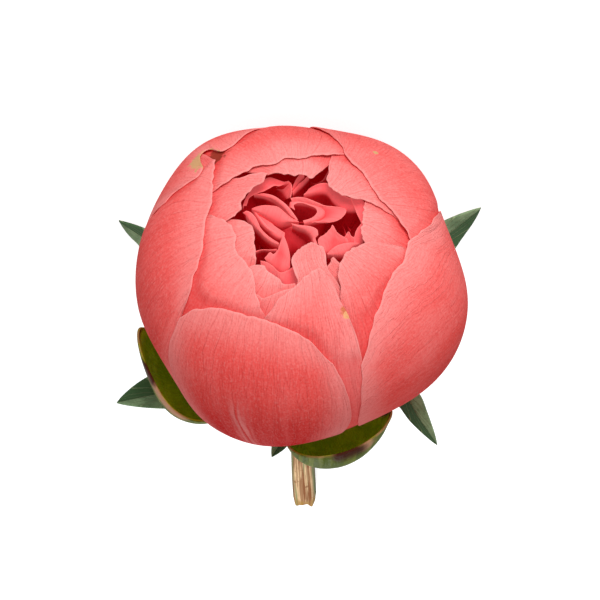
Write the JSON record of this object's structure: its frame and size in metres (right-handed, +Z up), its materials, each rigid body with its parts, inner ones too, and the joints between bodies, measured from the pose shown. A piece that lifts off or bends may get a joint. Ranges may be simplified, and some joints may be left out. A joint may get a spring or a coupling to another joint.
{
  "type": "cut peony flower",
  "caption": "Half-open double peony bloom on a short cut stem, lying on its side: cupped coral petals round a ruffled heart, with green sepals and folded leafy bracts.",
  "frame": {"origin": "on the table directly under the middle of the bloom, at the flat spot on which the bloom rests", "axes": "+Z up from the table; +Y from the bloom towards the cut end of the stem; +X to the left of the bloom as it is seen in the picture"},
  "size_m": [0.0909, 0.147, 0.0777],
  "materials": {
    "outer_petal": "soft coral petal, satin, with fine lengthwise veins",
    "inner_petal": "soft pink-coral petal, satin, paler at its rim",
    "heart_petal": "soft red petal, paler at its ruffled rim",
    "sepal": "smooth waxy olive green with a brown rim",
    "bract": "smooth waxy dark green, paler on one side of the midrib",
    "stem": "dry straw brown with lengthwise darker streaks"
  },
  "bodies": {
    "root": {"guard_petal_front": "outer_petal", "guard_petal_left_shoulder": "outer_petal", "guard_petal_right": "outer_petal", "guard_petal_left": "outer_petal", "guard_petal_right_shoulder": "outer_petal", "guard_petal_top": "outer_petal", "second_petal_front": "outer_petal", "second_petal_left": "outer_petal", "second_petal_right": "outer_petal", "inner_petal_top": "inner_petal", "inner_petal_upper_right": "inner_petal", "inner_petal_upper_left": "inner_petal", "inner_petal_right": "inner_petal", "inner_petal_front": "inner_petal", "inner_petal_lower_left": "inner_petal", "inner_petal_left": "inner_petal", "heart_petals": "heart_petal", "sepal_left": "sepal", "sepal_front": "sepal", "sepal_right_under": "sepal", "sepal_left_under": "sepal", "bract_right_under": "bract", "bract_left_under": "bract", "bract_left": "bract", "bract_right": "bract", "bract_front": "bract", "stem": "stem"}
  },
  "joints": []
}
